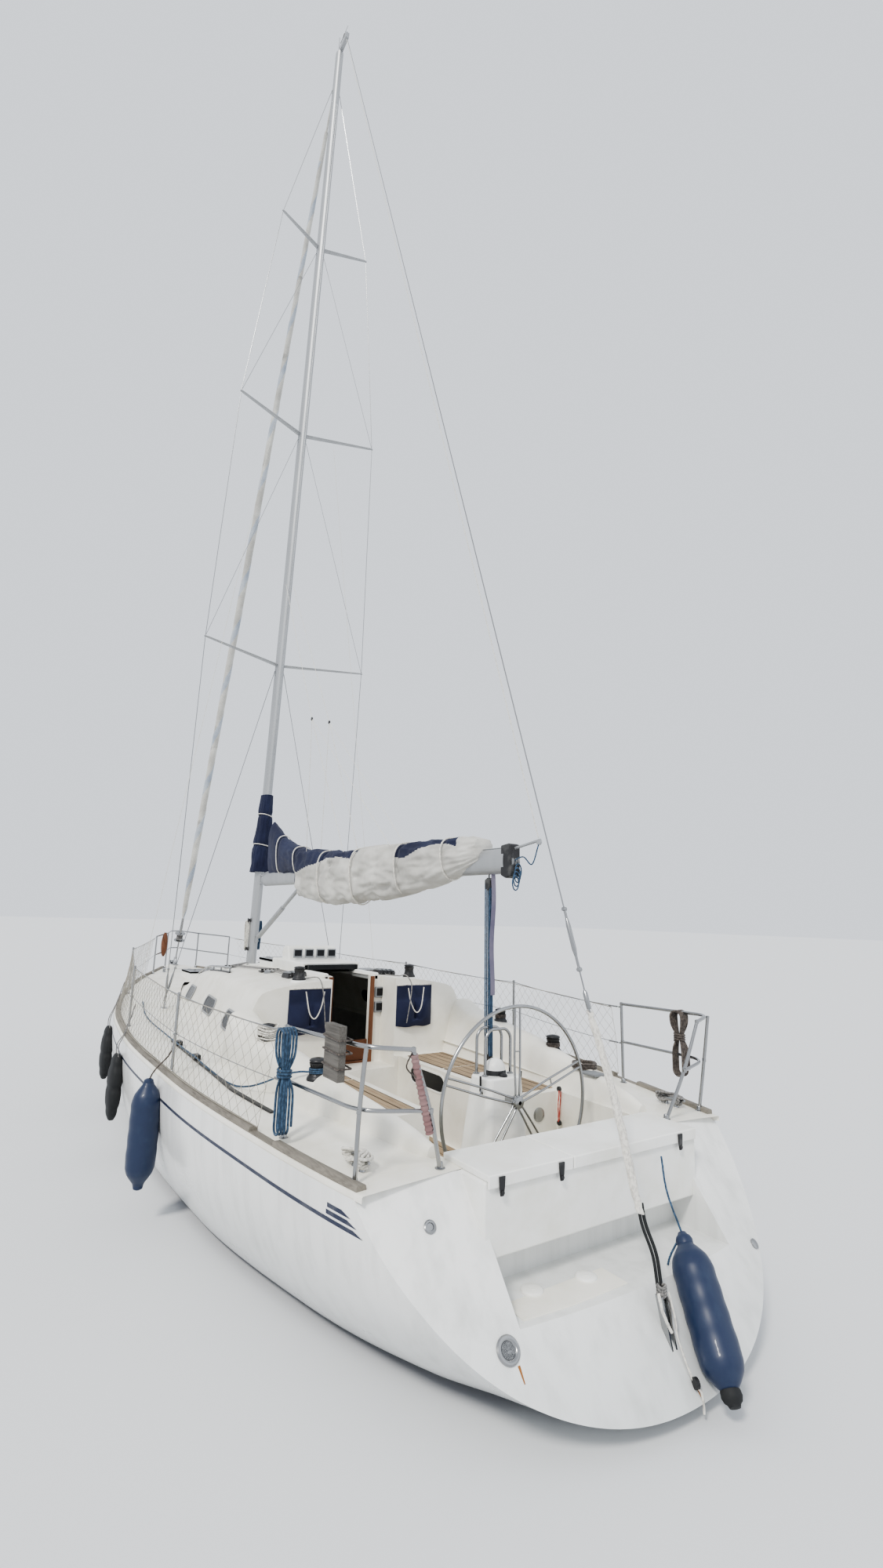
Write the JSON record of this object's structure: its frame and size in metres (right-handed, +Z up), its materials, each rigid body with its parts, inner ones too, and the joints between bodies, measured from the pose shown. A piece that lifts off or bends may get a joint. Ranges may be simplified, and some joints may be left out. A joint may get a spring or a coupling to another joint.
{
  "type": "cruising sailing yacht",
  "caption": "Cruising sailing yacht afloat, sails stowed: white hull, fin keel, spade rudder, open stern scoop, cockpit with wheel, coachroof, raked mast with three pairs of spreaders.",
  "frame": {"origin": "on the centreline amidships, at the waterline", "axes": "+X to the bow, +Y to port, +Z up the mast"},
  "size_m": [12.1306, 4.029, 19.5447],
  "materials": {
    "gelcoat": "glossy white gelcoat, weathered",
    "deck_gelcoat": "off-white moulded gelcoat with non-slip areas",
    "teak": "grey weathered teak",
    "varnished_wood": "brown varnished hardwood",
    "old_wood": "old grey wood",
    "stainless": "polished stainless steel",
    "anodised": "silver anodised alloy",
    "winch_metal": "dark anodised alloy",
    "iron": "dark antifouled iron",
    "antifoul": "dark blue antifouling",
    "bronze": "dull bronze",
    "acrylic": "smoked acrylic",
    "navy_canvas": "navy acrylic canvas",
    "grey_canvas": "grey worn sail cover over white sail",
    "black_plastic": "black moulded plastic",
    "blue_vinyl": "navy blue vinyl",
    "black_vinyl": "black vinyl",
    "blue_rope": "blue braided rope",
    "dark_rope": "dark brown braided rope",
    "interior": "brown cabin joinery"
  },
  "bodies": {
    "yacht": {"hull": "gelcoat", "keel": "iron", "drive_leg": "antifoul", "engine_block": "iron", "deck_moulding": "deck_gelcoat", "cockpit_moulding": "deck_gelcoat", "stern_moulding": "deck_gelcoat", "coachroof": "deck_gelcoat", "cabin_sole_and_steps": "interior", "companionway_frame": "varnished_wood", "mast": "anodised", "mast_cover": "navy_canvas", "furled_genoa": "grey_canvas", "stem_fitting": "stainless", "backstay": "stainless", "pulpit": "stainless", "steering_pedestal": "gelcoat", "fender_port_blue": "blue_vinyl", "fender_port_black_fore": "black_vinyl", "fender_port_black_mid": "black_vinyl", "fender_stern": "blue_vinyl", "motor_pad": "old_wood", "rope_hank_port": "blue_rope", "rope_hank_starboard": "dark_rope", "rope_coil_starboard": "dark_rope", "portlight_port_1": "acrylic", "portlight_port_2": "acrylic", "portlight_port_3": "acrylic", "toe_rail_port": "teak", "halyard_bag_port": "navy_canvas", "winch_primary_port": "winch_metal", "winch_secondary_port": "winch_metal", "winch_roof_port": "winch_metal", "shrouds_port": "stainless", "coaming_port": "deck_gelcoat", "lifelines_port": "stainless", "pushpit_port": "stainless", "portlight_starboard_1": "acrylic", "portlight_starboard_2": "acrylic", "portlight_starboard_3": "acrylic", "toe_rail_starboard": "teak", "halyard_bag_starboard": "navy_canvas", "winch_primary_starboard": "winch_metal", "winch_secondary_starboard": "winch_metal", "winch_roof_starboard": "winch_metal", "shrouds_starboard": "stainless", "coaming_starboard": "deck_gelcoat", "lifelines_starboard": "stainless", "pushpit_starboard": "stainless"},
    "boom": {"boom": "anodised", "boom_vang": "anodised", "mainsail_bundle": "grey_canvas"},
    "steering_wheel": {"steering_wheel": "stainless"},
    "rudder": {"rudder": "antifoul"},
    "propeller": {"propeller": "bronze"},
    "companionway_hatch": {"companionway_hatch": "acrylic"},
    "stern_lid_port": {"stern_lid_port": "gelcoat"},
    "stern_lid_starboard": {"stern_lid_starboard": "gelcoat"},
    "saloon_hatch": {"saloon_hatch": "acrylic"},
    "fore_hatch": {"fore_hatch": "acrylic"}
  },
  "joints": [
    {"name": "boom_swing", "type": "hinge", "parent": "yacht", "child": "boom", "pos_m": [1.15472, 0, 2.93], "axis": [-0.0559, 0, 0.9984], "range_deg": [-65, 65]},
    {"name": "rudder_turn", "type": "hinge", "parent": "yacht", "child": "rudder", "pos_m": [-4.9, 0, -1], "axis": [0, 0, 1], "range_deg": [-35, 35]},
    {"name": "wheel_turn", "type": "hinge", "parent": "yacht", "child": "steering_wheel", "pos_m": [-4.455, 0, 1.206], "axis": [1, 0, 0], "range_deg": [-270, 270]},
    {"name": "propeller_turn", "type": "hinge", "parent": "yacht", "child": "propeller", "pos_m": [-3.035, 0, -0.93], "axis": [1, 0, 0], "continuous": true},
    {"name": "hatch_slide", "type": "slide", "parent": "yacht", "child": "companionway_hatch", "axis": [1, 0, 0], "range_m": [-0.46, 0]},
    {"name": "lid_hinge_port", "type": "hinge", "parent": "yacht", "child": "stern_lid_port", "pos_m": [-4.832, 0.5, 1.122], "axis": [0, 1, 0], "range_deg": [0, 85]},
    {"name": "lid_hinge_starboard", "type": "hinge", "parent": "yacht", "child": "stern_lid_starboard", "pos_m": [-4.832, -0.4, 1.122], "axis": [0, 1, 0], "range_deg": [0, 85]},
    {"name": "saloon_hatch_hinge", "type": "hinge", "parent": "yacht", "child": "saloon_hatch", "pos_m": [0.276, 0, 1.906], "axis": [0, 1, 0], "range_deg": [0, 60]},
    {"name": "fore_hatch_hinge", "type": "hinge", "parent": "yacht", "child": "fore_hatch", "pos_m": [4.066, 0, 1.466], "axis": [0, 1, 0], "range_deg": [0, 85]}
  ],
  "couplings": [
    {"joint": "wheel_turn", "follows": "rudder_turn", "ratio": 7.7}
  ]
}
